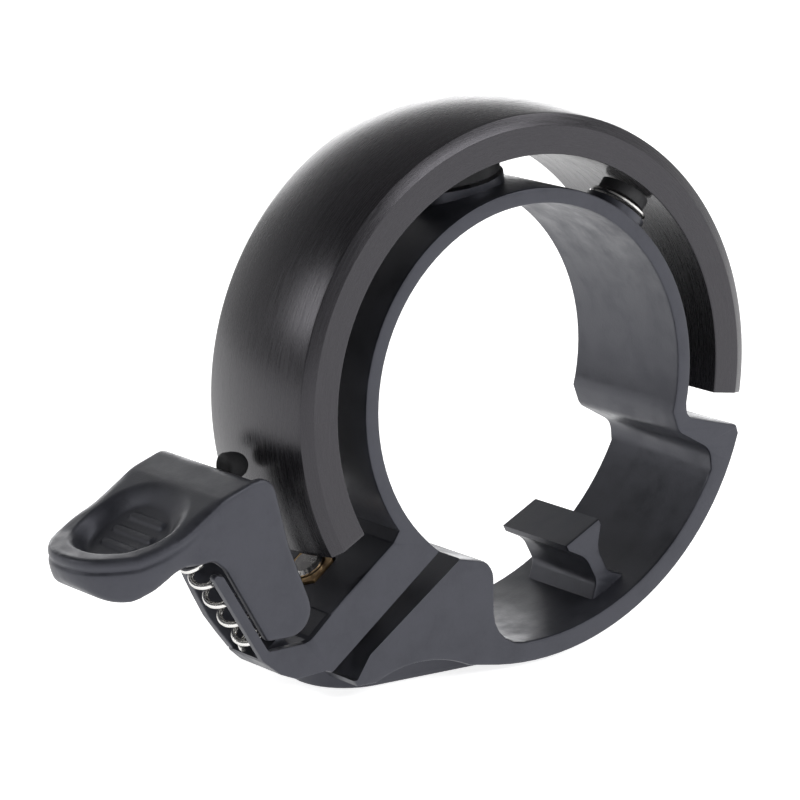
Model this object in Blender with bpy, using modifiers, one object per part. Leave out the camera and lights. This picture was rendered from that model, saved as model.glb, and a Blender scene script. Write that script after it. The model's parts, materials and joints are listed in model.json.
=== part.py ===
"""Ring bell for a bicycle handlebar: an open band that rings, carried by a clamp moulding, and struck
by a hammer on a sprung thumb lever.

Frame of reference: the origin is the middle of the handlebar bore. +X points away from the lever, +Y runs
along the handlebar from the near side of the band to the far side, and +Z is up. Sizes below are in
millimetres and become metres where a shape is made.
"""

import math

import bmesh
import bpy
from mathutils import Matrix, Vector

MM = 0.001

# Handlebar clamp
WIDTH = 14.4  # of the clamp along the handlebar
BORE_R = 16.0
RING_R = 17.4  # outside of the clamp's ring
CHANNEL_R = 22.2  # inside wall of the cable channel
SHOE_R = 24.05  # outside wall of the cable channel
SOLE_Z = -24.4  # what the bell stands on
RING_END = 230.5  # degrees, where the ring meets the clamp gap
LEDGE_END = -14.5  # degrees, where the bore opens into the cable channel

# Ringer
RINGER_WIDTH = 14.5
RINGER_IN_R = 20.2
RINGER_FACE_R = 22.65  # flat side face ends here
RINGER_EDGE_R = 23.65  # and its bevel here
RINGER_BEVEL_DEPTH = 0.55
RINGER_CROWN = 0.8  # how far the crown swells above its edges
RINGER_FROM, RINGER_TO = -8.0, 210.0  # degrees
MOUNT_ANGLE = 101.0  # the fixed mount, in the middle of the ringer
BUMPER_ANGLE = 52.0  # the second support, near the open end
BUMPER_DEPTH = 3.0

# Lever
PIVOT = (-29.3, -9.2)
PIVOT_PIN_R = 1.0
PIVOT_HUB_R = 2.2
PLATE_DEPTH = 1.0  # of the lever's cheek plate
STRIP_DEPTH = 0.8  # of the housing's near wall
NEAR_WALL = (5.1, 6.1)  # the housing's two hinge walls, as depths from the near side
FAR_WALL = (8.5, 9.5)
KNUCKLE = (6.35, 8.25)  # the lever's bearing between them
TIP_X = -42.8
PADDLE_HALF = 7.2
HAMMER_AT = (-26.65, -4.45)  # where the leaf carries the head
HAMMER_R = 1.2
LEAF_THICK = 0.35
LEAF_ROOT_Z = -8.3
PADDLE_STRAIGHT = 35.0  # how far out the paddle keeps its full width

# Return spring
SPRING_FOOT = (-26.9, -18.4)
SPRING_HEAD = (-32.9, -10.5)
SPRING_DEPTH = 3.0
SPRING_R = 1.0  # to the middle of the wire
SPRING_WIRE_R = 0.28
SPRING_TURNS = 5.25
SEAT_HALF = 1.1  # half the width of the seat under the spring
SPRING_POCKET_R = 1.75  # round the spring's head, in the lever

# Clamp screw, square to the clamp gap
SCREW_TOP = (-18.3, -14.1)
GAP_SLOPE = 218.0  # degrees, the way the gap runs
SCREW_R = 1.5
SCREW_HEAD_R = 2.75
SCREW_HEAD_H = 2.4
WASHER_SEAT = 7.8  # where the washer lies on the tongue, down the screw from the nut's face
WASHER_THICK = 0.35
SCREW_SEAT = 8.35  # the underside of the screw's head
NUT_R = 2.45  # to the hexagon's corners
NUT_THICK = 2.1
TONGUE_HALF = 4.75  # half the width of the tongue round the screw

EDGE = 0.25  # radius of the mouldings' rims
GAP = 0.3  # between touching pieces
FIT = 0.15  # round a screw or a pin
COLLECTION = "ring_bell"


# ---------------------------------------------------------------- scene and material helpers


def clear_scene():
    for obj in list(bpy.data.objects):
        bpy.data.objects.remove(obj)


def make_collection(name):
    collection = bpy.data.collections.new(name)
    bpy.context.scene.collection.children.link(collection)
    return collection


def material(name, colour, roughness, metallic=0.0):
    made = bpy.data.materials.new(name)
    made.use_nodes = True
    shader = made.node_tree.nodes["Principled BSDF"]
    shader.inputs["Base Color"].default_value = (*colour, 1.0)
    shader.inputs["Roughness"].default_value = roughness
    shader.inputs["Metallic"].default_value = metallic
    return made


def link(obj, collection, surface=None):
    for old in list(obj.users_collection):
        old.objects.unlink(obj)
    collection.objects.link(obj)
    if surface:
        obj.data.materials.clear()
        obj.data.materials.append(surface)
    return obj


def as_cutter(obj):
    """A shape used only to cut or join: kept out of renders."""
    link(obj, cutters)
    obj.hide_render = True
    obj.display_type = "WIRE"
    return obj


def boolean(target, other, operation):
    modifier = target.modifiers.new(f"{operation.lower()}_{other.name}", "BOOLEAN")
    modifier.operation = operation
    modifier.object = as_cutter(other)
    modifier.solver = "MANIFOLD"
    return target


def cut(target, *others):
    for other in others:
        boolean(target, other, "DIFFERENCE")
    return target


def join(target, *others):
    for other in others:
        boolean(target, other, "UNION")
    return target


# ---------------------------------------------------------------- outline helpers (millimetres)


def arc(centre, radius, start, end, count):
    """Points along an arc, in degrees."""
    angles = [math.radians(start + (end - start) * i / count) for i in range(count + 1)]
    return [(centre[0] + radius * math.cos(a), centre[1] + radius * math.sin(a)) for a in angles]


def polar(radius, degrees):
    angle = math.radians(degrees)
    return (radius * math.cos(angle), radius * math.sin(angle))


def radial(degrees):
    """The direction out from the bore's axis, in space."""
    x, z = polar(1, degrees)
    return (x, 0, z)


def rounded(corners, steps=5):
    """A closed outline whose corners (x, z, radius) are rounded; a corner given as (x, z) stays sharp."""
    points = []
    for i, corner in enumerate(corners):
        here = Vector(corner[:2])
        radius = corner[2] if len(corner) > 2 else 0
        to_last = (Vector(corners[i - 1][:2]) - here).normalized()
        to_next = (Vector(corners[(i + 1) % len(corners)][:2]) - here).normalized()
        half = to_last.angle(to_next) / 2
        if radius == 0 or half > math.radians(87):
            points.append(tuple(here))
            continue
        start = here + to_last * radius / math.tan(half)
        end = here + to_next * radius / math.tan(half)
        middle = here + (to_last + to_next).normalized() * radius / math.sin(half)
        turn = (end - middle).angle_signed(start - middle)
        for k in range(steps + 1):
            spoke = (start - middle).copy()
            spoke.rotate(Matrix.Rotation(turn * k / steps, 2))
            points.append(tuple(middle + spoke))
    return points


# ---------------------------------------------------------------- solid helpers


def mesh_from_curve(curve_obj):
    """The curve's evaluated mesh as a mesh object, with the caps welded to the sides."""
    graph = bpy.context.evaluated_depsgraph_get()
    mesh = bpy.data.meshes.new_from_object(curve_obj.evaluated_get(graph))
    work = bmesh.new()
    work.from_mesh(mesh)
    bmesh.ops.remove_doubles(work, verts=work.verts, dist=0.001 * MM)
    bmesh.ops.recalc_face_normals(work, faces=work.faces)
    work.to_mesh(mesh)
    work.free()
    name = curve_obj.name
    place = curve_obj.matrix_world.copy()
    bpy.data.objects.remove(curve_obj)
    made = bpy.data.objects.new(name, mesh)
    bpy.context.scene.collection.objects.link(made)
    made.matrix_world = place
    return made


def outline_solid(name, outlines, thickness, edge):
    """A flat outline, with any holes, as a solid whose rims are rounded to the edge radius."""
    curve = bpy.data.curves.new(name, "CURVE")
    curve.dimensions = "2D"
    curve.fill_mode = "BOTH"
    curve.extrude = (thickness / 2 - edge) * MM
    curve.bevel_depth = edge * MM
    curve.bevel_resolution = 1
    curve.offset = -edge * MM
    for outline in outlines:
        spline = curve.splines.new("POLY")
        spline.points.add(len(outline) - 1)
        for point, (x, y) in zip(spline.points, outline):
            point.co = (x * MM, y * MM, 0, 1)
        spline.use_cyclic_u = True
    made = bpy.data.objects.new(name, curve)
    bpy.context.scene.collection.objects.link(made)
    return made


def slab(name, outlines, near, far, edge=0.0):
    """An outline in X and Z between two depths measured from the near side."""
    made = outline_solid(name, outlines, far - near, edge)
    made.rotation_euler = (math.pi / 2, 0, 0)
    made.location = (0, ((near + far) / 2 - WIDTH / 2) * MM, 0)
    bpy.context.view_layer.update()
    return mesh_from_curve(made)


def plan_slab(name, plan, low, high, edge=0.0):
    """An outline seen from above, as (x, depth) points, between two heights."""
    made = outline_solid(name, [[(x, depth - WIDTH / 2) for x, depth in plan]], high - low, edge)
    made.location = (0, 0, (low + high) / 2 * MM)
    bpy.context.view_layer.update()
    return mesh_from_curve(made)


def turned(name, profile, axis_point, axis, steps=48):
    """A solid of revolution: (radius, height) points run from the top of the axis down the outer side."""
    mesh = bpy.data.meshes.new(name)
    work = bmesh.new()
    corners = [work.verts.new((radius * MM, 0, height * MM)) for radius, height in profile]
    for first, second in zip(corners, corners[1:]):
        work.edges.new((first, second))
    if profile[0][0] > 0:
        work.edges.new((corners[-1], corners[0]))
    work.to_mesh(mesh)
    work.free()
    made = bpy.data.objects.new(name, mesh)
    bpy.context.scene.collection.objects.link(made)
    screw = made.modifiers.new("turn", "SCREW")
    screw.steps = steps
    screw.render_steps = steps
    screw.use_merge_vertices = True
    screw.merge_threshold = 0.00001
    place = Vector(axis).to_track_quat("Z", "Y").to_matrix().to_4x4()
    place.translation = Vector(axis_point) * MM
    made.matrix_world = place
    return made


def rod(name, radius, start, end, axis_point, axis, sides=32):
    """A plain cylinder between two heights along an axis."""
    mesh = bpy.data.meshes.new(name)
    work = bmesh.new()
    bmesh.ops.create_cone(
        work,
        cap_ends=True,
        segments=sides,
        radius1=radius * MM,
        radius2=radius * MM,
        depth=(end - start) * MM,
    )
    bmesh.ops.translate(work, verts=work.verts, vec=(0, 0, (start + end) / 2 * MM))
    work.to_mesh(mesh)
    work.free()
    made = bpy.data.objects.new(name, mesh)
    bpy.context.scene.collection.objects.link(made)
    place = Vector(axis).to_track_quat("Z", "Y").to_matrix().to_4x4()
    place.translation = Vector(axis_point) * MM
    made.matrix_world = place
    return made


def at_depth(x, z, depth):
    """A point of the side view (x, z) at a depth from the near side."""
    return (x, depth - WIDTH / 2, z)


def tube_ring(name, inner, outer, near, far, steps=96):
    """A plain ring round the bore's axis."""
    half_turn = [(outer, far), (outer, near), (inner, near), (inner, far)]
    return turned(name, half_turn, (0, -WIDTH / 2, 0), (0, 1, 0), steps)


# ---------------------------------------------------------------- clamp moulding


def spring_axis():
    run = Vector(SPRING_HEAD) - Vector(SPRING_FOOT)
    return run.normalized(), run.length


def screw_axis():
    """Down the clamp screw, square to the gap, from the nut towards the head."""
    angle = math.radians(GAP_SLOPE + 90)
    return Vector((math.cos(angle), 0, math.sin(angle)))


def clamp_body():
    outer = (
        arc((0, 0), RING_R, -11, 216.5, 64)
        + rounded([(-14.0, -10.4), (-14.6, -11.3, 0.7), (-21.0, -16.4)])[1:]
        + [(-21.5, -21.3), (-18.9, -22.3), (-18.2, -23.2)]
        + arc((-11.5, -33.5), 11.35, 115, 64, 10)
        + arc((0, 0), SHOE_R, -98, -16.5, 26)
        + rounded([polar(SHOE_R, -18), (22.9, -6.05, 0.4), (17.15, -4.6, 0.9), polar(RING_R, -11)])[1:-1]
    )
    inner = (
        arc((0, 0), BORE_R, RING_END, LEDGE_END, 68)
        + rounded(
            [
                polar(BORE_R, LEDGE_END),
                (16.2, -5.9, 1.2),
                (19.8, -7.9, 1.6),
                polar(CHANNEL_R, -26),
            ]
        )[1:-1]
        + arc((0, 0), CHANNEL_R, -26, -88, 20)
        + rounded(
            [
                polar(CHANNEL_R, -88),
                (-3.9, -22.2, 3.3),
                (-4.0, -14.5, 1.9),
                (-7.6, -13.7, 0.5),
                (-9.0, -13.2),
            ]
        )[1:]
    )
    return slab("clamp_frame", [outer, inner], 0, WIDTH, EDGE)


def housing_foot():
    """The floor under the spring, which carries the housing's walls."""
    near = rounded(
        [
            (-20.0, -15.6),
            (-23.0, -18.3, 1.2),
            (-24.6, -18.8, 0.4),
            (-26.2, -18.85),
            (-27.45, -19.6, 0.3),
            (-26.0, -20.85, 1.0),
            (-24.4, -21.5, 1.2),
            (-20.3, -21.2),
        ]
    )
    far = [(-20.2, -16.2), (-24.0, -18.5), (-22.2, -20.9), (-20.5, -20.9)]
    return [
        slab("foot_near", [near], STRIP_DEPTH - 0.3, NEAR_WALL[1], EDGE / 2),
        slab("foot_far", [far], NEAR_WALL[1] - 0.5, FAR_WALL[1] + 0.4),
        slab("spring_seat", [spring_seat_outline()], PLATE_DEPTH + GAP, NEAR_WALL[0] + 0.2),
    ]


def spring_seat_outline():
    """Top face square to the spring's axis, just under its last turn."""
    axis, _ = spring_axis()
    across = Vector((axis.y, -axis.x))
    top = Vector(SPRING_FOOT) - axis * (SPRING_WIRE_R + GAP)
    left = top - across * SEAT_HALF
    right = top + across * SEAT_HALF * 1.5
    return [tuple(left), tuple(right), (-24.2, -18.9), (-24.4, -20.0), (-26.8, -20.1)]


def housing_walls():
    # the strip beside the cheek plate and the band that turns under it, in one flush face
    strip = rounded(
        [
            (-31.55, -11.6, 0.4),
            (-32.4, -11.35, 0.3),
            (-32.5, -11.75, 0.2),
            (-27.75, -19.45),
            (-26.0, -20.85, 1.0),
            (-24.4, -21.5, 1.2),
            (-20.3, -21.2),
            (-20.0, -15.65),
            (-23.2, -18.5, 1.6),
            (-27.2, -18.65, 0.5),
        ]
    )
    near_wall = arc(PIVOT, PIVOT_HUB_R, 185, -10, 16) + [(-25.0, -14.0), (-22.6, -17.4), (-23.0, -19.0)]
    near_wall += [(-27.0, -19.7), (-27.4, -19.5), (-28.6, -18.0), (-29.8, -16.4), (-30.8, -14.6)]
    near_wall += [(-31.65, -12.95), (-32.1, -12.0), (-31.8, -11.7)]
    far_wall = arc(PIVOT, PIVOT_HUB_R, 200, -10, 16) + [(-25.0, -14.0), (-21.9, -16.8), (-22.0, -19.0)]
    far_wall += [(-24.2, -18.6), (-27.3, -13.8), (-30.6, -11.9)]
    return [
        slab("strip", [strip], 0, STRIP_DEPTH, EDGE / 2),
        slab("near_wall", [near_wall], *NEAR_WALL, EDGE / 2),
        slab("far_wall", [far_wall], *FAR_WALL, EDGE / 2),
    ]


def bar_rest():
    """The flared post in the cable channel, whose head takes the handlebar."""
    half = [(2.05, BORE_R + 0.05), (2.05, 16.65), (0.75, 18.4, 2.2), (0.75, 20.9, 1.2), (2.4, 22.6)]
    mirrored = [(-corner[0], *corner[1:]) for corner in reversed(half)]
    angle = math.radians(-62)
    out = Vector((math.cos(angle), math.sin(angle)))
    side = Vector((-out.y, out.x))
    world = [tuple(out * r + side * t) for t, r in rounded(half + mirrored)]
    return slab("bar_rest", [world], 2.5, WIDTH - 2.5, EDGE)


def screw_tongue():
    """The rounded tongue under the clamp gap, which holds the screw's head."""
    middle = WIDTH / 2
    half = TONGUE_HALF
    plan = [(-2.0, middle + half), *arc((-14.6, middle), half, 90, 270, 20), (-2.0, middle - half)]
    return plan_slab("tongue", plan, SOLE_Z, SOLE_Z + 2.8, 2 * EDGE)


def clamp_gap():
    upper = [(-8.2, -11.4), (-20.4, -21.1), (-24.0, -24.0)]
    lower = [(-22.0, -23.2), (-18.3, -22.6), (-17.0, -20.6), (-7.6, -13.7), (-5.6, -12.2)]
    return slab("gap", [upper + lower], -1, WIDTH + 1)


def mount_pad(name, angle, depth, radius, top):
    """A flat-topped pad on the outside of the ring."""
    return rod(name, radius, BORE_R + 0.5, top, at_depth(0, 0, depth), radial(angle), 40)


def clamp_frame(surface):
    frame = clamp_body()
    join(frame, *housing_foot(), *housing_walls(), bar_rest(), screw_tongue())
    join(frame, mount_pad("mount_pad", MOUNT_ANGLE, WIDTH / 2, 4.5, 18.0))
    join(frame, mount_pad("bumper_pad", BUMPER_ANGLE, BUMPER_DEPTH, 2.8, 18.0))
    loose = SCREW_R + FIT
    cone = [(0, 19.5), (loose, 19.5), (loose, 17.5), (3.1, 15.95), (3.1, 15.0), (0, 15.0)]
    cut(frame, clamp_gap())
    cut(frame, turned("mount_hole", cone, (0, 0, 0), radial(MOUNT_ANGLE), 32))
    down = screw_axis()
    top = at_depth(*SCREW_TOP, WIDTH / 2)
    cut(frame, rod("screw_hole", SCREW_R + 0.25, -3, 14, top, down))
    cut(frame, rod("head_recess", SCREW_HEAD_R + 0.45, 7.6, 14, top, down))
    cut(frame, rod("nut_pocket", NUT_R + GAP, -3, NUT_THICK + 0.2, top, down, 6))
    hinge = at_depth(*PIVOT, 0)
    cut(frame, rod("pin_hole", PIVOT_PIN_R + FIT, NEAR_WALL[0] - 1, FAR_WALL[1] + 1, hinge, (0, 1, 0)))
    return link(frame, parts, surface)


# ---------------------------------------------------------------- ringer and what carries it


def ringer_profile():
    """Across the band: (radius, depth from its near face), down its crowned outside, then up the bore."""
    half = RINGER_WIDTH / 2 - RINGER_BEVEL_DEPTH
    bow = (half**2 + RINGER_CROWN**2) / (2 * RINGER_CROWN)
    crown = []
    for i in range(11):
        y = half - 2 * half * i / 10
        crown.append((RINGER_EDGE_R + RINGER_CROWN - bow + math.sqrt(bow**2 - y**2), y))
    edge = RINGER_WIDTH / 2
    return (
        [(RINGER_FACE_R, edge)]
        + crown
        + [(RINGER_FACE_R, -edge), (RINGER_IN_R + 0.15, -edge), (RINGER_IN_R, -edge + 0.15)]
        + [(RINGER_IN_R, edge - 0.15), (RINGER_IN_R + 0.15, edge)]
    )


def ringer(surface):
    band = turned("ringer", ringer_profile(), (0, 0, 0), (0, 1, 0), 108)
    missing = arc((0, 0), 40, RINGER_TO, RINGER_FROM + 360, 12)
    cut(band, slab("ringer_opening", [[(0, 0), *missing]], -5, WIDTH + 5))
    cut(band, rod("thread_hole", SCREW_R + FIT, 19, 22.9, (0, 0, 0), radial(MOUNT_ANGLE)))
    return link(band, parts, surface)


def curved_bush(name, angle, depth, radius, inner, outer, hole, surface):
    """A short round bush, flat towards the bore, whose outer end follows the ringer's curve."""
    axis = radial(angle)
    bush = rod(name, radius, inner, outer + 1.5, at_depth(0, 0, depth), axis, 36)
    modifier = bush.modifiers.new("between", "BOOLEAN")
    modifier.operation = "INTERSECT"
    modifier.object = as_cutter(tube_ring(f"{name}_space", BORE_R, outer, -2, WIDTH + 2, 120))
    if hole:
        cut(bush, rod(f"{name}_hole", hole, inner - 2, outer + 2, at_depth(0, 0, depth), axis, 24))
    return link(bush, parts, surface)


def disc(name, angle, depth, radius, low, high, surface):
    """A thin disc with broken edges, square to the ring's radius."""
    profile = [(0, high), (radius - 0.1, high), (radius, high - 0.1), (radius, low + 0.1)]
    profile += [(radius - 0.1, low), (0, low)]
    made = turned(name, profile, at_depth(0, 0, depth), radial(angle), 36)
    return link(made, parts, surface)


def mount_screw(surface):
    """Countersunk screw from inside the bore, up through the bush into the ringer."""
    axis = radial(MOUNT_ANGLE)
    tip = 22.6
    head_top = 16.05
    head_r = 2.65
    shank = [(0, tip), (SCREW_R - 0.3, tip), (SCREW_R, tip - 0.3), (SCREW_R, 17.2)]
    profile = shank + [(head_r, head_top + 0.2), (head_r, head_top), (0, head_top)]
    screw = turned("mount_screw", profile, (0, 0, 0), axis, 32)
    cut(screw, rod("mount_screw_socket", 1.15, 15.5, 17.4, (0, 0, 0), axis, 6))
    return link(screw, parts, surface)


# ---------------------------------------------------------------- lever, hammer, pin and spring


def lever_side_outline():
    """The paddle from the side: top face from the root down to the tip, then back along the underside."""
    return rounded(
        [
            (-27.5, -3.72, 1.2),
            (-31.4, -5.1, 4.0),
            (-35.2, -7.7, 6.0),
            (-39.0, -9.1, 6.0),
            (-43.6, -9.7, 0.9),
            (-43.3, -11.2, 1.2),
            (-40.4, -13.2, 3.0),
            (-35.0, -10.4, 1.0),
            (-32.2, -10.2, 0.2),
            (-32.2, -6.9, 0.4),
            (-30.6, -6.0, 0.5),
            (-27.2, -5.5, 0.3),
        ],
        6,
    )


def paddle_plan(name):
    """Cuts the paddle's end to its rounded outline seen from above."""
    plan = [(-24.0, 0.0)]
    for i in range(25):
        angle = math.radians(-90 + 180 * i / 24)
        x = -PADDLE_STRAIGHT - (abs(TIP_X) - PADDLE_STRAIGHT) * math.cos(angle)
        plan.append((x, PADDLE_HALF * math.sin(angle) + PADDLE_HALF))
    plan.append((-24.0, 2 * PADDLE_HALF))
    return plan_slab(name, plan, -20, 4)


def dish():
    """The hollow in the paddle for the thumb: the lower part of a flattened ball."""
    mesh = bpy.data.meshes.new("dish")
    work = bmesh.new()
    bmesh.ops.create_uvsphere(work, u_segments=32, v_segments=16, radius=1)
    work.to_mesh(mesh)
    work.free()
    made = bpy.data.objects.new("dish", mesh)
    bpy.context.scene.collection.objects.link(made)
    tilt = Matrix.Rotation(math.radians(-24), 4, "Y")
    size = Matrix.Diagonal((5.6 * MM, 5.3 * MM, 1.9 * MM, 1))
    made.matrix_world = Matrix.Translation(Vector(at_depth(-36.1, -7.1, WIDTH / 2)) * MM) @ tilt @ size
    return made


def spring_pocket():
    """The round pocket under the lever that takes the spring's head."""
    axis, length = spring_axis()
    along = (axis.x, 0, axis.y)
    roof = length + SPRING_WIRE_R + GAP
    foot = at_depth(*SPRING_FOOT, SPRING_DEPTH)
    return rod("spring_pocket", SPRING_POCKET_R, length - 3, roof, foot, along)


def cheek_plate():
    """The flat plate that hangs from the lever's near side into the clamp's pocket."""
    outline = rounded(
        [
            (-26.75, -3.5, 1.5),
            (-25.1, -9.7, 5.0),
            (-21.75, -17.95, 2.2),
            (-27.25, -17.85, 0.2),
            (-31.3, -11.1, 0.4),
            (-32.3, -10.3, 0.3),
            (-34.0, -9.9),
            (-31.5, -5.3),
        ],
        6,
    )
    return slab("cheek_plate", [outline], 0, PLATE_DEPTH, EDGE)


def thumb_lever(surface):
    lever = slab("thumb_lever", [lever_side_outline()], 0, WIDTH)
    modifier = lever.modifiers.new("plan", "BOOLEAN")
    modifier.operation = "INTERSECT"
    modifier.object = as_cutter(paddle_plan("paddle_plan"))
    join(lever, cheek_plate())
    hub = arc(PIVOT, PIVOT_HUB_R, 150, 390, 18) + [(-27.6, -5.2), (-31.8, -5.8), (-32.2, -8.6)]
    join(lever, slab("knuckle", [hub], *KNUCKLE))
    foot = rounded(
        [
            (-28.2, -5.4),
            (-26.1, -6.3, 0.3),
            (-25.7, -9.3, 0.5),
            (-27.6, -10.4, 0.4),
            (-28.6, -8.0),
        ]
    )
    join(lever, slab("hammer_root", [foot], *KNUCKLE))
    pad = [(-35.5, -9.0), (-34.6, -10.7), (-32.4, -10.5), (-31.0, -10.3), (-30.0, -5.4)]
    join(lever, slab("spring_pad", [pad], PLATE_DEPTH - 0.2, NEAR_WALL[0] - GAP))
    cut(lever, dish(), spring_pocket())
    half = LEAF_THICK / 2 + FIT
    x = HAMMER_AT[0]
    slot = [(x - half, -8.6), (x + half, -8.6), (x + half, -3.0), (x - half, -3.0)]
    cut(lever, slab("leaf_slot", [slot], KNUCKLE[0] - 1, KNUCKLE[1] + 1))
    hinge = at_depth(*PIVOT, 0)
    cut(lever, rod("lever_pin_hole", PIVOT_PIN_R + FIT, KNUCKLE[0] - 1, KNUCKLE[1] + 1, hinge, (0, 1, 0)))
    return link(lever, parts, surface)


def pivot_pin(surface):
    near = NEAR_WALL[0]
    far = FAR_WALL[1]
    r = PIVOT_PIN_R
    far_end = [(0, far), (r - 0.15, far), (r, far - 0.15)]
    profile = far_end + [(r, near + 0.15), (r - 0.15, near), (0, near)]
    return link(turned("pivot_pin", profile, at_depth(*PIVOT, 0), (0, 1, 0), 24), parts, surface)


def return_spring(surface):
    """A coil along the line from its foot to its head, with its ends closed up square."""
    axis, length = spring_axis()
    along = Vector((axis.x, 0, axis.y))
    across = Vector((axis.y, 0, -axis.x))
    deep = Vector((0, 1, 0))
    count = int(SPRING_TURNS * 14)
    curve = bpy.data.curves.new("return_spring", "CURVE")
    curve.dimensions = "3D"
    curve.bevel_depth = SPRING_WIRE_R * MM
    curve.bevel_resolution = 2
    curve.use_fill_caps = True
    spline = curve.splines.new("POLY")
    spline.points.add(count)
    foot = Vector(at_depth(*SPRING_FOOT, SPRING_DEPTH))
    for i, point in enumerate(spline.points):
        turn = 2 * math.pi * SPRING_TURNS * i / count
        side = across * math.cos(turn) + deep * math.sin(turn)
        place = foot + along * (length * i / count) + side * SPRING_R
        point.co = (*(place * MM), 1)
    made = bpy.data.objects.new("return_spring", curve)
    bpy.context.scene.collection.objects.link(made)
    return link(made, parts, surface)


def hammer(steel, black):
    """A flat spring leaf held in the lever, and the round head that it carries against the ringer."""
    x, z = HAMMER_AT
    left = x - LEAF_THICK / 2
    right = x + LEAF_THICK / 2
    leaf = [(left, LEAF_ROOT_Z), (right, LEAF_ROOT_Z), (right, z + 0.4), (left, z + 0.4)]
    leaf_obj = slab("hammer_leaf", [leaf], *KNUCKLE)
    r = HAMMER_R
    dome = [(0, 2.1), (0.5 * r, 1.95), (0.85 * r, 1.5), (r, 0.9)]
    head = dome + [(r, -0.05), (r - 0.2, -0.25), (0, -0.25)]
    head_obj = turned("hammer_head", head, at_depth(x, z, (KNUCKLE[0] + KNUCKLE[1]) / 2), (1, 0, 0), 24)
    slot = [(left - 0.4, -9.0), (right + 0.15, -9.0), (right + 0.15, z + 0.55), (left - 0.4, z + 0.55)]
    cut(head_obj, slab("head_slot", [slot], KNUCKLE[0] - 0.15, KNUCKLE[1] + 0.15))
    return link(leaf_obj, parts, steel), link(head_obj, parts, black)


# ---------------------------------------------------------------- clamp screw and nut


def clamp_screw(surface):
    r = SCREW_R
    head = SCREW_HEAD_R
    base = SCREW_SEAT + SCREW_HEAD_H
    # heights run down the screw's axis from the nut, so the head is at the high end
    profile = [(0, base), (head - 0.2, base), (head, base - 0.2), (head, SCREW_SEAT), (r, SCREW_SEAT)]
    profile += [(r, -0.2), (r - 0.3, -0.5), (0, -0.5)]
    top = at_depth(*SCREW_TOP, WIDTH / 2)
    screw = turned("clamp_screw", profile, top, screw_axis(), 32)
    cut(screw, rod("clamp_screw_socket", 1.45, base - 1.5, base + 1, top, screw_axis(), 6))
    return link(screw, parts, surface)


def washer(surface):
    top = at_depth(*SCREW_TOP, WIDTH / 2)
    outer = SCREW_HEAD_R + 0.1
    inner = SCREW_R + FIT
    high = WASHER_SEAT + WASHER_THICK
    profile = [(outer, high), (outer, WASHER_SEAT), (inner, WASHER_SEAT), (inner, high)]
    return link(turned("screw_washer", profile, top, screw_axis(), 32), parts, surface)


def clamp_nut(surface):
    top = at_depth(*SCREW_TOP, WIDTH / 2)
    nut = rod("clamp_nut", NUT_R, 0, NUT_THICK, top, screw_axis(), 6)
    cut(nut, rod("nut_thread", SCREW_R + FIT, -1, 3, top, screw_axis(), 24))
    return link(nut, parts, surface)


clear_scene()
parts = make_collection(COLLECTION)
cutters = make_collection("cutters")
nylon = material("glass_filled_nylon", (0.045, 0.052, 0.062), 0.62)
anodised = material("black_anodised_aluminium", (0.022, 0.024, 0.028), 0.32, 1.0)
rubber = material("black_rubber", (0.018, 0.018, 0.02), 0.75)
steel = material("stainless_steel", (0.66, 0.65, 0.63), 0.25, 1.0)
brass = material("brass", (0.70, 0.48, 0.22), 0.35, 1.0)

clamp_frame(nylon)
ringer(anodised)
curved_bush("mount_bush", MOUNT_ANGLE, WIDTH / 2, 4.3, 18.3, 19.9, SCREW_R + FIT, rubber)
mount_screw(steel)
disc("bumper_washer", BUMPER_ANGLE, BUMPER_DEPTH, 2.7, 18.25, 18.6, steel)
curved_bush("bumper", BUMPER_ANGLE, BUMPER_DEPTH, 2.2, 18.9, 19.9, 0, rubber)
thumb_lever(nylon)
pivot_pin(steel)
return_spring(steel)
hammer(steel, rubber)
clamp_screw(steel)
washer(steel)
clamp_nut(brass)
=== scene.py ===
"""Looks for the handlebar ring bell: finer pieces, materials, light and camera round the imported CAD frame.

Frame: metres. The origin is the middle of the handlebar bore, +X away from the thumb lever, +Y along the
handlebar away from the cheek plate's side, +Z up. The pieces' sizes are written in millimetres.
"""

import json
import math

import bmesh
import bpy
import numpy as np
from mathutils import Matrix, Vector


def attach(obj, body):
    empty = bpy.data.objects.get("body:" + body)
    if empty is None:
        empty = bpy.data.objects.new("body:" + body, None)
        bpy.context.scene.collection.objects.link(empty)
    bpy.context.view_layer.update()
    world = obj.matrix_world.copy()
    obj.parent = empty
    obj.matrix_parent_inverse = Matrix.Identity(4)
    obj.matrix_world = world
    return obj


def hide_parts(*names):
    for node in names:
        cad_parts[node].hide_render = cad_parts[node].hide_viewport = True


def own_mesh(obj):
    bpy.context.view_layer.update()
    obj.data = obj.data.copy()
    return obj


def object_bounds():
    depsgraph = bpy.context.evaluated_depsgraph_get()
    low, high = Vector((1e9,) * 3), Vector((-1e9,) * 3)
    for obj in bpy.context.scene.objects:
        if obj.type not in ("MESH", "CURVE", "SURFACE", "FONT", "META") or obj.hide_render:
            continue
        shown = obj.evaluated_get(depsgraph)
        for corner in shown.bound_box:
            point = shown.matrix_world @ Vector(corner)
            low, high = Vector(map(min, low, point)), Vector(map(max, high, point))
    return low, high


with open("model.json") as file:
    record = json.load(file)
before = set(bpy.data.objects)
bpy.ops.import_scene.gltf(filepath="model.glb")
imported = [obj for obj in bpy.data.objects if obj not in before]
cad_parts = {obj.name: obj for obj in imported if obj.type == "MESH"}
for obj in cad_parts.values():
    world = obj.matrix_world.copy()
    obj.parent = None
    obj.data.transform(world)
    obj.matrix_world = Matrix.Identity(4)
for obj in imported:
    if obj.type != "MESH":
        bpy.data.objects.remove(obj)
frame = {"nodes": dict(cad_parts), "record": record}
cad_box = [list(corner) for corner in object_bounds()]
nodes = frame["nodes"]
MM = 0.001


# ---------------------------------------------------------------- materials

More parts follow.
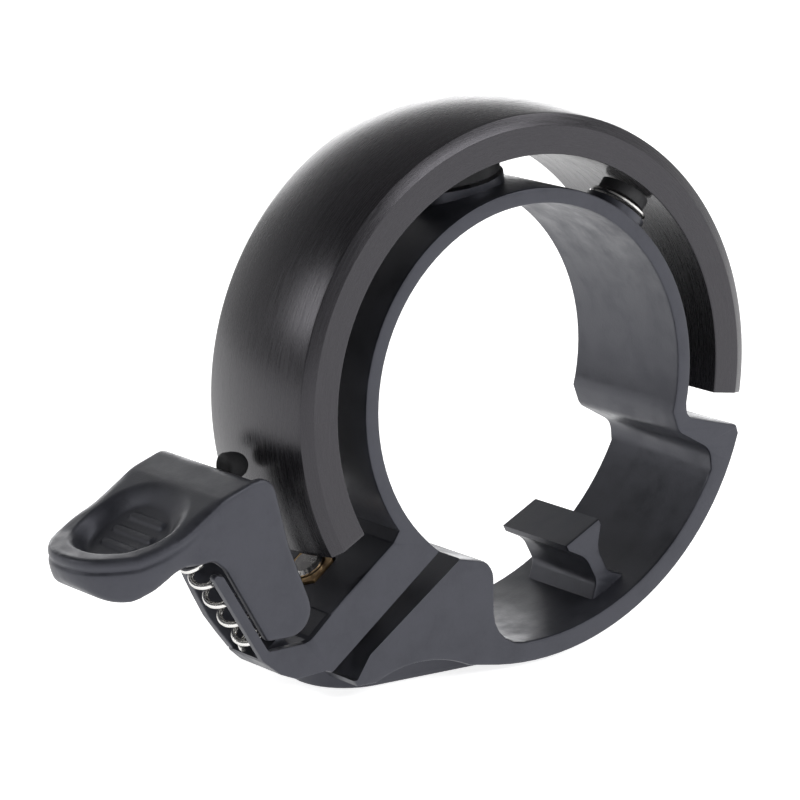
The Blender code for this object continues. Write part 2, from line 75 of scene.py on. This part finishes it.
# The span of a noise's values, about its mean of 0.5, that a texture is stretched over
MOTTLE_SPAN = (0.36, 0.64)
BRUSHED_SPAN = (0.32, 0.68)
CLOUD_SPAN = (0.3, 0.7)

# Scale of the brushing across its lines, per metre. Along them it is 1 per radian.
LINE_SCALE = 900


def principled(name, colour, roughness, **sockets):
    """A material and its shader. Other sockets are given by name, with _ for each space."""
    made = bpy.data.materials.new(name)
    made.use_nodes = True
    shader = made.node_tree.nodes["Principled BSDF"]
    shader.inputs["Base Color"].default_value = (*colour, 1.0)
    shader.inputs["Roughness"].default_value = roughness
    for socket, value in sockets.items():
        shader.inputs[socket.replace("_", " ")].default_value = value
    return made, shader


def object_place(tree):
    """Object coordinates: the row frame in metres."""
    return tree.nodes.new("ShaderNodeTexCoord").outputs["Object"]


def noise(tree, vector, scale, detail, rough=0.5):
    """Values about 0.5, with the scale per unit of the vector."""
    made = tree.nodes.new("ShaderNodeTexNoise")
    made.inputs["Scale"].default_value = scale
    made.inputs["Detail"].default_value = detail
    made.inputs["Roughness"].default_value = rough
    tree.links.new(vector, made.inputs["Vector"])
    return made.outputs["Fac"]


def arithmetic(tree, operation, first, second):
    """A Math node's result; its second term is an output or a number."""
    made = tree.nodes.new("ShaderNodeMath")
    made.operation = operation
    tree.links.new(first, made.inputs[0])
    if isinstance(second, bpy.types.NodeSocket):
        tree.links.new(second, made.inputs[1])
    else:
        made.inputs[1].default_value = second
    return made.outputs[0]


def remap(tree, value, span, result):
    """The value stretched from one span to another, and held at its ends."""
    made = tree.nodes.new("ShaderNodeMapRange")
    made.inputs["From Min"].default_value, made.inputs["From Max"].default_value = span
    made.inputs["To Min"].default_value, made.inputs["To Max"].default_value = result
    tree.links.new(value, made.inputs["Value"])
    return made.outputs["Result"]


def ramp(tree, value, span, colours):
    """A blend from one colour to the other as the value crosses the span."""
    made = tree.nodes.new("ShaderNodeValToRGB")
    for element, position, colour in zip(made.color_ramp.elements, span, colours):
        element.position = position
        element.color = (*colour, 1.0)
    tree.links.new(value, made.inputs["Fac"])
    return made.outputs["Color"]


def bump(tree, shader, height, strength, distance):
    """Relief from the height; the distance is in millimetres."""
    made = tree.nodes.new("ShaderNodeBump")
    made.inputs["Strength"].default_value = strength
    made.inputs["Distance"].default_value = distance * MM
    tree.links.new(height, made.inputs["Height"])
    tree.links.new(made.outputs["Normal"], shader.inputs["Normal"])


def nylon_material():
    """Dark blue-grey glass-filled nylon: a fine mottle from the fibres and a spark-eroded grain."""
    made, shader = principled("glass_filled_nylon", (0.022, 0.024, 0.029), 0.44)
    shader.inputs["Specular IOR Level"].default_value = 0.7
    shader.inputs["Specular Tint"].default_value = (0.86, 0.87, 1.0, 1.0)
    tree = made.node_tree
    vector = object_place(tree)
    mottle = noise(tree, vector, 260, 7, 0.68)
    grain = noise(tree, vector, 5200, 2)
    dark = (0.008, 0.009, 0.012)
    light = (0.025, 0.026, 0.032)
    tree.links.new(ramp(tree, mottle, MOTTLE_SPAN, (dark, light)), shader.inputs["Base Color"])
    tree.links.new(remap(tree, mottle, MOTTLE_SPAN, (0.3, 0.52)), shader.inputs["Roughness"])
    bump(tree, shader, grain, 0.25, 0.03)
    return made


def round_band(tree):
    """Angle about the bore's axis, depth along it and distance from it, so lines run round the band."""
    split = tree.nodes.new("ShaderNodeSeparateXYZ")
    tree.links.new(object_place(tree), split.inputs["Vector"])
    flat = tree.nodes.new("ShaderNodeCombineXYZ")
    tree.links.new(split.outputs["X"], flat.inputs["X"])
    tree.links.new(split.outputs["Z"], flat.inputs["Z"])
    radius = tree.nodes.new("ShaderNodeVectorMath")
    radius.operation = "LENGTH"
    tree.links.new(flat.outputs["Vector"], radius.inputs[0])
    angle = arithmetic(tree, "ARCTAN2", split.outputs["Z"], split.outputs["X"])
    depth = arithmetic(tree, "MULTIPLY", split.outputs["Y"], LINE_SCALE)
    outward = arithmetic(tree, "MULTIPLY", radius.outputs["Value"], LINE_SCALE)
    joined = tree.nodes.new("ShaderNodeCombineXYZ")
    tree.links.new(angle, joined.inputs["X"])
    tree.links.new(depth, joined.inputs["Y"])
    tree.links.new(outward, joined.inputs["Z"])
    return joined.outputs["Vector"]


def anodised_material():
    """Black anodised aluminium, turned and brushed round the band's axis."""
    made, shader = principled("black_anodised", (0.012, 0.013, 0.015), 0.34)
    shader.inputs["Specular IOR Level"].default_value = 0.58
    shader.inputs["Specular Tint"].default_value = (0.95, 0.92, 1.0, 1.0)
    tree = made.node_tree
    lines = noise(tree, round_band(tree), 7, 10, 0.8)
    dark = (0.004, 0.004, 0.005)
    light = (0.017, 0.016, 0.018)
    tree.links.new(ramp(tree, lines, BRUSHED_SPAN, (dark, light)), shader.inputs["Base Color"])
    tree.links.new(remap(tree, lines, BRUSHED_SPAN, (0.18, 0.36)), shader.inputs["Roughness"])
    bump(tree, shader, lines, 0.1, 0.06)
    return made


def rubber_material():
    """Matte black rubber."""
    made, shader = principled("black_rubber", (0.016, 0.016, 0.018), 0.7)
    tree = made.node_tree
    cloud = noise(tree, object_place(tree), 900, 4)
    tree.links.new(remap(tree, cloud, CLOUD_SPAN, (0.6, 0.8)), shader.inputs["Roughness"])
    bump(tree, shader, cloud, 0.2, 0.04)
    return made


def metal_material(name, colour, roughness, grain_scale):
    """Bare metal whose roughness varies by 30 per cent either way."""
    made, shader = principled(name, colour, roughness, Metallic=1.0)
    tree = made.node_tree
    cloud = noise(tree, object_place(tree), grain_scale, 5)
    spread = (roughness * 0.7, roughness * 1.3)
    tree.links.new(remap(tree, cloud, CLOUD_SPAN, spread), shader.inputs["Roughness"])
    bump(tree, shader, cloud, 0.08, 0.02)
    return made


finishes = {
    "nylon": nylon_material(),
    "anodised": anodised_material(),
    "rubber": rubber_material(),
    "steel": metal_material("stainless", (0.72, 0.71, 0.69), 0.22, 1500),
    "brass": metal_material("brass", (0.62, 0.42, 0.22), 0.38, 1200),
}


# ---------------------------------------------------------------- pieces


def placed(name, data):
    """A new object in the scene."""
    made = bpy.data.objects.new(name, data)
    bpy.context.scene.collection.objects.link(made)
    return made


def new_piece(name, mesh, body, slot, stands_for):
    """A visible piece on a body, in one of the finishes, standing for a CAD node."""
    made = placed(name, mesh)
    mesh.materials.clear()
    mesh.materials.append(finishes[slot])
    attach(made, body)
    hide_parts(stands_for)
    return made


def shade(obj, angle):
    """Smooth shading that keeps edges sharper than the angle, with flat faces left flat."""
    for polygon in obj.data.polygons:
        polygon.use_smooth = True
    obj.modifiers.new("weld", "WELD").merge_threshold = 0.001 * MM
    split = obj.modifiers.new("split", "EDGE_SPLIT")
    split.split_angle = math.radians(angle)
    split.use_edge_sharp = False
    weighted = obj.modifiers.new("weighted", "WEIGHTED_NORMAL")
    weighted.weight = 80
    return obj


def mesh_from(work, name):
    """The finished bmesh as a new mesh."""
    mesh = bpy.data.meshes.new(name)
    work.to_mesh(mesh)
    work.free()
    return mesh


def skin(work, rings, name):
    """A closed mesh through rings of vertices, with a cap at each end."""
    for first, second in zip(rings, rings[1:]):
        for k in range(len(first)):
            n = (k + 1) % len(first)
            work.faces.new((first[k], first[n], second[n], second[k]))
    work.faces.new(rings[0])
    work.faces.new(rings[-1])
    bmesh.ops.recalc_face_normals(work, faces=work.faces)
    return mesh_from(work, name)


def fillet(corner, before, after, radius, steps):
    """Points of a small round between two straight runs of a profile."""
    here, last, following = Vector(corner), Vector(before), Vector(after)
    to_last = (last - here).normalized()
    to_next = (following - here).normalized()
    half = to_last.angle(to_next) / 2
    start = here + to_last * radius / math.tan(half)
    end = here + to_next * radius / math.tan(half)
    middle = here + (to_last + to_next).normalized() * radius / math.sin(half)
    turn = (end - middle).angle_signed(start - middle)
    points = []
    for k in range(steps + 1):
        spoke = (start - middle).copy()
        spoke.rotate(Matrix.Rotation(turn * k / steps, 2))
        points.append(tuple(middle + spoke))
    return points


# Ringer: the CAD band's sizes
BAND_HALF = 7.25
BAND_IN_R = 20.2
BAND_FACE_R = 22.65
BAND_EDGE_R = 23.65
BAND_BEVEL = 0.55
BAND_CROWN = 0.8
BAND_FROM = -8.0  # degrees round the bore
BAND_TO = 210.0
BAND_STEPS = 320
CROWN_STEPS = 32
EDGE_ROUND = 0.12  # where the flat faces meet the bevels and the bevels meet the crown
INNER_ROUND = 0.15
# How the band's ends are softened: degrees in from the end, and the share of the full section there
END_ROUND = [(0.0, 0.88), (0.09, 0.965), (0.28, 1.0)]
END_NARROWING = 0.14  # of the width, for each unit of section lost
END_THINNING = 0.5  # of the thickness


def band_profile():
    """Closed outline across the band as (radius, depth from its middle), with a crown and small rounds."""
    edge = BAND_HALF - BAND_BEVEL
    bow = (edge**2 + BAND_CROWN**2) / (2 * BAND_CROWN)
    crown = []
    for i in range(CROWN_STEPS + 1):
        y = -edge + 2 * edge * i / CROWN_STEPS
        crown.append((BAND_EDGE_R + BAND_CROWN - bow + math.sqrt(bow**2 - y**2), y))
    low_face = (BAND_FACE_R, -BAND_HALF)
    high_face = (BAND_FACE_R, BAND_HALF)
    inner_low = (BAND_IN_R, -BAND_HALF)
    inner_high = (BAND_IN_R, BAND_HALF)
    points = fillet(low_face, inner_low, crown[0], EDGE_ROUND, 3)
    points += fillet(crown[0], low_face, crown[1], EDGE_ROUND, 3)
    points += crown[1:-1]
    points += fillet(crown[-1], crown[-2], high_face, EDGE_ROUND, 3)
    points += fillet(high_face, crown[-1], inner_high, EDGE_ROUND, 3)
    points += fillet(inner_high, high_face, inner_low, INNER_ROUND, 4)
    points += fillet(inner_low, inner_high, low_face, INNER_ROUND, 4)
    return points


def band():
    """The open ring, swept round the bore's axis, with its two ends closed and softened."""
    profile = band_profile()
    middle = (BAND_IN_R + BAND_EDGE_R) / 2
    margin = END_ROUND[-1][0]
    arc = BAND_TO - BAND_FROM - 2 * margin
    stations = [(BAND_FROM + offset, share) for offset, share in END_ROUND]
    stations += [(BAND_FROM + margin + arc * i / BAND_STEPS, 1.0) for i in range(1, BAND_STEPS)]
    stations += [(BAND_TO - offset, share) for offset, share in reversed(END_ROUND)]
    work = bmesh.new()
    rings = []
    for degrees, share in stations:
        angle = math.radians(degrees)
        thin = 1 - END_THINNING * (1 - share)
        narrow = 1 - END_NARROWING * (1 - share)
        ring = []
        for profile_radius, profile_depth in profile:
            radius = (middle + (profile_radius - middle) * thin) * MM
            depth = profile_depth * narrow * MM
            ring.append(work.verts.new((radius * math.cos(angle), depth, radius * math.sin(angle))))
        rings.append(ring)
    mesh = skin(work, rings, "ringer_band")
    return shade(new_piece("ringer_band", mesh, "clamp", "anodised", "ringer"), 40)


# Return spring
SPRING_FOOT = (-26.9, -4.2, -18.4)
SPRING_HEAD = (-32.9, -4.2, -10.5)
SPRING_R = 1.0  # to the middle of the wire
WIRE_R = 0.28
SPRING_TURNS = 5.5
CLOSED_TURNS = 0.8  # at each end
CLOSED_PITCH = 2.2  # wire radii a turn
WIRE_SIDES = 12
STEPS_PER_TURN = 40


def spring():
    """A wire coil from the foot to the head whose end turns are closed up."""
    foot = Vector(SPRING_FOOT) * MM
    head = Vector(SPRING_HEAD) * MM
    along = (head - foot).normalized()
    deep = Vector((0, 1, 0))
    across = along.cross(deep)
    length = (head - foot).length
    end_rise = CLOSED_PITCH * WIRE_R * MM * CLOSED_TURNS

    def centre(turn):
        if turn < CLOSED_TURNS:
            rise = end_rise * turn / CLOSED_TURNS
        elif turn > SPRING_TURNS - CLOSED_TURNS:
            rise = length - end_rise * (SPRING_TURNS - turn) / CLOSED_TURNS
        else:
            share = (turn - CLOSED_TURNS) / (SPRING_TURNS - 2 * CLOSED_TURNS)
            rise = end_rise + (length - 2 * end_rise) * share
        angle = 2 * math.pi * turn
        spoke = across * math.cos(angle) + deep * math.sin(angle)
        return foot + along * rise + spoke * SPRING_R * MM

    work = bmesh.new()
    rings = []
    count = int(SPRING_TURNS * STEPS_PER_TURN)
    for i in range(count + 1):
        turn = SPRING_TURNS * i / count
        ahead = centre(min(turn + 0.01, SPRING_TURNS)) - centre(max(turn - 0.01, 0))
        side = ahead.cross(along).normalized()
        up = side.cross(ahead).normalized()
        ring = []
        for k in range(WIRE_SIDES):
            angle = 2 * math.pi * k / WIRE_SIDES
            spoke = side * math.cos(angle) + up * math.sin(angle)
            ring.append(work.verts.new(centre(turn) + spoke * WIRE_R * MM))
        rings.append(ring)
    mesh = skin(work, rings, "coil_spring")
    made = new_piece("coil_spring", mesh, "clamp", "steel", "return_spring")
    shade(made, 60)
    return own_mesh(made)


# Hammer's head: its middle on the leaf, and its outline as (radius, distance towards the band)
BUTTON_AT = (-26.65, 0.05, -4.45)
BUTTON_DOME = [(0.3, 2.08), (0.6, 1.95), (0.85, 1.73), (1.03, 1.42), (1.14, 1.08), (1.19, 0.75)]
BUTTON_BODY = [(1.2, 0.4), (1.2, 0.05), (1.14, -0.1), (1.02, -0.2), (0.88, -0.25)]
BUTTON_SIDES = 48


def hammer_button():
    """The hammer's rubber head: a button moulded round the end of the leaf, domed towards the band."""
    work = bmesh.new()
    rings = []
    for radius, out in BUTTON_DOME + BUTTON_BODY:
        ring = []
        for k in range(BUTTON_SIDES):
            angle = 2 * math.pi * k / BUTTON_SIDES
            spoke = Vector((out, radius * math.cos(angle), radius * math.sin(angle)))
            ring.append(work.verts.new((Vector(BUTTON_AT) + spoke) * MM))
        rings.append(ring)
    mesh = skin(work, rings, "hammer_button")
    return shade(new_piece("hammer_button", mesh, "hammer", "rubber", "hammer_head"), 50)


# Thumb lever: the paddle's top line in side view, from its root to its tip
TOP_LINE = [(-31.4, -5.1), (-33.4, -6.3), (-35.2, -7.45), (-37.0, -8.3), (-39.0, -9.05), (-42.0, -9.5)]
TOP_ROOT_X = -31.2  # where its upper face starts
TOP_HALF = 6.6  # half the upper face's width, without its rims
TOP_FACING = 0.35  # least upward share of an upper face's normal
# The skin formed over the CAD lever
VOXEL = 0.13
SOFTEN_STEPS = 46
SETTLE_STEPS = 3
SOFT_LEVELS = 8
SOFT_FROM, SOFT_TO = 26.5, 32.5  # distances from the bore's axis between which the softening grows
SOFT_LEAST = 0.12
SOFT_PLATE = 0.25  # of the cheek plate
PLATE_FACE = -5.9  # the plate is nearer than this
PLATE_CORNER = (-34.0, -9.6)  # and inward of and below this
# The fill of the CAD dish
PLUG_X = -36.6
PLUG_LONG, PLUG_WIDE = 5.4, 5.9
PLUG_SIDES = 48
PLUG_OVER, PLUG_UNDER = 0.15, 1.8  # the top line
# The thumb dish and its ribs
DISH_AT = (-36.1, -7.9)
DISH_SLOPE = 23.0  # degrees below level, towards the tip
DISH_LONG, DISH_WIDE, DISH_DEEP = 5.1, 5.7, 1.35
DISH_SQUARE = 2.3  # power of the rim's oval: 2 is an ellipse
DISH_TAPER = 0.16  # narrower towards the tip by this share
DISH_WALL = 0.24  # share of the way from the rim to the middle that slopes, at the tip
DISH_WALL_MORE = 0.3  # and what the root's end adds to it
DISH_SHALLOW = 0.6  # share of the depth at the root's end
RIB_PLACES = (-1.6, 0.0, 1.6)
RIB_HALF = 2.6
RIB_TAPER = 0.25  # shorter by this for each millimetre from the dish's middle
RIB_HIGH = 0.22
RIB_TOP, RIB_FOOT = 0.28, 0.46  # half widths
# The paddle's sides: spans out from the bore's axis, and below the top line
BOWL_X = -36.0  # the middle that its sides draw in towards
BOWL_OUT = (33.0, 37.0)
BOWL_BELOW = (1.0, 4.2)
BOWL_TUCK = 0.13  # share of the distance from the middle
BELLY_OUT = (35.0, 38.0)
BELLY_BELOW = (1.2, 3.2)
BELLY_DROP = 0.45
GROOVE_BELOW = 1.0
GROOVE_DEEP = 0.03  # share of the distance from the middle
GROOVE_HALF = 0.16
GROOVE_CLEAR = 5.0  # of the middle, so that the dish has none


def copy_of(name):
    """The CAD node's mesh with its split corners joined again."""
    mesh = nodes[name].data.copy()
    work = bmesh.new()
    work.from_mesh(mesh)
    bmesh.ops.remove_doubles(work, verts=work.verts, dist=0.002 * MM)
    work.to_mesh(mesh)
    work.free()
    return mesh


def top_of(x):
    """Height of the paddle's top line."""
    xs = [point[0] for point in reversed(TOP_LINE)]
    zs = [point[1] for point in reversed(TOP_LINE)]
    return np.interp(x, xs, zs)


def dish_plug():
    """Fills the CAD dish up to just over the paddle's top line, so that a finer one can be formed."""
    work = bmesh.new()
    top = []
    low = []
    for k in range(PLUG_SIDES):
        angle = 2 * math.pi * k / PLUG_SIDES
        x = PLUG_X + PLUG_LONG * math.cos(angle)
        y = PLUG_WIDE * math.sin(angle)
        z = float(top_of(x))
        top.append(work.verts.new((x * MM, y * MM, (z + PLUG_OVER) * MM)))
        low.append(work.verts.new((x * MM, y * MM, (z - PLUG_UNDER) * MM)))
    work.faces.new(top)
    work.faces.new(list(reversed(low)))
    for k in range(PLUG_SIDES):
        n = (k + 1) % PLUG_SIDES
        work.faces.new((top[n], top[k], low[k], low[n]))
    bmesh.ops.triangulate(work, faces=[face for face in work.faces if len(face.verts) > 4])
    bmesh.ops.recalc_face_normals(work, faces=work.faces)
    return mesh_from(work, "dish_plug")


def baked(obj):
    """The object's mesh with its modifiers applied."""
    graph = bpy.context.evaluated_depsgraph_get()
    mesh = bpy.data.meshes.new_from_object(obj.evaluated_get(graph))
    obj.modifiers.clear()
    obj.data = mesh
    return mesh


def points_of(mesh):
    """The mesh's vertices in millimetres, and their normals."""
    points = np.empty(len(mesh.vertices) * 3)
    mesh.vertices.foreach_get("co", points)
    normals = np.empty(len(mesh.vertices) * 3)
    mesh.vertices.foreach_get("normal", normals)
    return points.reshape(-1, 3) / MM, normals.reshape(-1, 3)


def put_points(mesh, points):
    """Moves the mesh's vertices to points in millimetres."""
    mesh.vertices.foreach_set("co", (points * MM).ravel())
    mesh.update()


def smoothstep(value, low, high):
    """0 up to the low value, 1 from the high one, and an even curve between them."""
    t = np.clip((value - low) / (high - low), 0, 1)
    return t * t * (3 - 2 * t)


def level_top(points, normals):
    """Brings the paddle's upper face onto its top line."""
    facing = normals[:, 2] > TOP_FACING
    upper = (points[:, 0] < TOP_ROOT_X) & facing & (np.abs(points[:, 1]) < TOP_HALF)
    out = points.copy()
    out[:, 2] = np.where(upper, top_of(points[:, 0]), points[:, 2])
    return out


def bowl(points):
    """Draws the paddle's sides in towards its underside, and sets a fine groove under its lip."""
    beyond = -points[:, 0]
    below = top_of(points[:, 0]) - points[:, 2]
    outer = smoothstep(beyond, *BOWL_OUT)
    share = 1 - BOWL_TUCK * smoothstep(below, *BOWL_BELOW) * outer
    side = np.hypot(points[:, 0] - BOWL_X, points[:, 1]) > GROOVE_CLEAR
    groove = GROOVE_DEEP * np.exp(-(((below - GROOVE_BELOW) / GROOVE_HALF) ** 2)) * outer * side
    out = points.copy()
    out[:, 0] = BOWL_X + (points[:, 0] - BOWL_X) * np.where(points[:, 0] < BOWL_X, share - groove, 1)
    out[:, 1] = points[:, 1] * (share - groove)
    out[:, 2] -= BELLY_DROP * smoothstep(below, *BELLY_BELOW) * smoothstep(beyond, *BELLY_OUT)
    return out


def form_dish(points, normals):
    """Presses the thumb dish and its ribs into the top of the paddle."""
    slope = math.radians(DISH_SLOPE)
    run = DISH_AT[0] - points[:, 0]
    fall = DISH_AT[1] - points[:, 2]
    along = run * math.cos(slope) + fall * math.sin(slope)
    across = points[:, 1]
    width = DISH_WIDE * (1 - DISH_TAPER * smoothstep(along, -1.0, DISH_LONG))
    oval = np.abs(along / DISH_LONG) ** DISH_SQUARE + np.abs(across / width) ** DISH_SQUARE
    reach = oval ** (1 / DISH_SQUARE)
    wall = DISH_WALL + DISH_WALL_MORE * smoothstep(-along, -1, DISH_LONG)
    fullness = DISH_SHALLOW + (1 - DISH_SHALLOW) * smoothstep(along, -4, 3)
    depth = DISH_DEEP * (1 - smoothstep(reach, 1 - wall, 1.02)) * fullness
    ribs = np.zeros(len(points))
    for place in RIB_PLACES:
        half = RIB_HALF - RIB_TAPER * abs(place)
        offset = np.hypot(along - place, np.maximum(np.abs(across) - half, 0))
        ribs = np.maximum(ribs, RIB_HIGH * (1 - smoothstep(offset, RIB_TOP, RIB_FOOT)))
    upper = smoothstep(normals[:, 2], 0.1, 0.5) * smoothstep(-points[:, 0], 31.0, 32.0)
    drop = (depth - ribs * (depth > 0.3 * DISH_DEEP)) * upper
    out = points.copy()
    out[:, 0] += drop * math.sin(slope)
    out[:, 2] -= drop * math.cos(slope)
    return out


def filled_lever():
    """The CAD lever with its dish filled, as a fine even mesh."""
    base = placed("paddle", copy_of("thumb_lever"))
    plug = placed("plug", dish_plug())
    union = base.modifiers.new("plug", "BOOLEAN")
    union.operation = "UNION"
    union.object = plug
    union.solver = "MANIFOLD"
    remesh = base.modifiers.new("remesh", "REMESH")
    remesh.mode = "VOXEL"
    remesh.voxel_size = VOXEL * MM
    baked(base)
    bpy.data.objects.remove(plug)
    return base


def softened(base):
    """Rounds the paddle well and the lever's cheek plate and bearing a little."""
    points, normals = points_of(base.data)
    put_points(base.data, level_top(points, normals))
    weight = np.maximum(smoothstep(-points[:, 0], SOFT_FROM, SOFT_TO), SOFT_LEAST)
    plate = points[:, 1] < PLATE_FACE
    plate &= (points[:, 0] > PLATE_CORNER[0]) & (points[:, 2] < PLATE_CORNER[1])
    weight = np.where(plate, SOFT_PLATE, weight)
    soft = base.vertex_groups.new(name="soft")
    for level in range(1, SOFT_LEVELS + 1):
        chosen = np.nonzero(np.round(weight * SOFT_LEVELS) == level)[0]
        soft.add([int(i) for i in chosen], level / SOFT_LEVELS, "REPLACE")
    soften = base.modifiers.new("soften", "SMOOTH")
    soften.factor = 0.5
    soften.iterations = SOFTEN_STEPS
    soften.vertex_group = "soft"
    mesh = baked(base)
    base.vertex_groups.clear()
    return mesh


def lever():
    """The thumb lever with a soft paddle, a rounder dish and three plain ribs in it."""
    base = filled_lever()
    mesh = softened(base)
    points, normals = points_of(mesh)
    put_points(mesh, bowl(form_dish(points, normals)))
    settle = base.modifiers.new("settle", "SMOOTH")
    settle.factor = 0.5
    settle.iterations = SETTLE_STEPS
    mesh = baked(base)
    for polygon in mesh.polygons:
        polygon.use_smooth = True
    bpy.data.objects.remove(base)
    return new_piece("thumb_paddle", mesh, "lever", "nylon", "thumb_lever")


lever()
band()
spring()
hammer_button()

for entry in frame["record"]["subparts"]:
    obj = nodes[entry["node"]]
    obj.data.materials.clear()
    obj.data.materials.append(finishes[entry["material_slot"]])
    shade(obj, 32)


# ---------------------------------------------------------------- floor, light and camera

FLOOR_HALF = 4  # metres
WHITE = (1.0, 1.0, 1.0)
DIM = (0.22, 0.22, 0.22)
CAMERA_AT = (-212.32, -283.90, 75.94)
CAMERA_TILT = 77.571  # degrees up from straight down
CAMERA_TURN = -35.640


def floor():
    """Plain pale paper under the bell, lit evenly enough by itself to stay white."""
    work = bmesh.new()
    bmesh.ops.create_grid(work, x_segments=1, y_segments=1, size=FLOOR_HALF)
    mesh = mesh_from(work, "floor")
    made = placed("floor", mesh)
    made.location.z = cad_box[0][2] - 0.02 * MM
    paper, shader = principled("paper", (0.92, 0.92, 0.92), 0.9)
    shader.inputs["Emission Color"].default_value = (*WHITE, 1.0)
    shader.inputs["Emission Strength"].default_value = 0.8
    mesh.materials.append(paper)


def softbox(name, place, size, power):
    """A rectangular light at a place in metres, turned to the bell."""
    light = bpy.data.lights.new(name, "AREA")
    light.shape = "RECTANGLE"
    light.size, light.size_y = size
    light.energy = power
    made = placed(name, light)
    made.location = place
    made.rotation_euler = (-Vector(place)).to_track_quat("-Z", "Y").to_euler()


def studio():
    """Soft light all round, strongest near the horizon, falling off overhead and towards -X."""
    world = bpy.data.worlds.new("studio")
    bpy.context.scene.world = world
    world.use_nodes = True
    tree = world.node_tree
    split = tree.nodes.new("ShaderNodeSeparateXYZ")
    tree.links.new(tree.nodes.new("ShaderNodeTexCoord").outputs["Generated"], split.inputs["Vector"])
    background = tree.nodes["Background"]
    tree.links.new(ramp(tree, split.outputs["Z"], (0.12, 0.65), (WHITE, DIM)), background.inputs["Color"])
    strength = remap(tree, split.outputs["X"], (-0.9, 0.3), (0.22, 1.05))
    tree.links.new(strength, background.inputs["Strength"])


def camera():
    """Seen from the near side, left of the axis and a little above."""
    data = bpy.data.cameras.new("camera")
    data.lens = 188.57
    data.sensor_width = 36
    data.clip_start = 0.01
    made = placed("camera", data)
    made.location = Vector(CAMERA_AT) * MM
    made.rotation_euler = (math.radians(CAMERA_TILT), 0, math.radians(CAMERA_TURN))
    bpy.context.scene.camera = made


floor()
softbox("backdrop_glow", (0.6, 1.0, 0.22), (1.1, 0.4), 4.0)
softbox("side_fill", (-0.79, 0.44, 0.38), (0.34, 0.34), 1.3)
softbox("front_key", (0.3, -0.76, 0.54), (0.6, 0.24), 2.5)
softbox("overhead", (0.55, -0.25, 0.78), (0.5, 0.5), 2.8)
studio()
bpy.context.scene.view_settings.view_transform = "Standard"
camera()
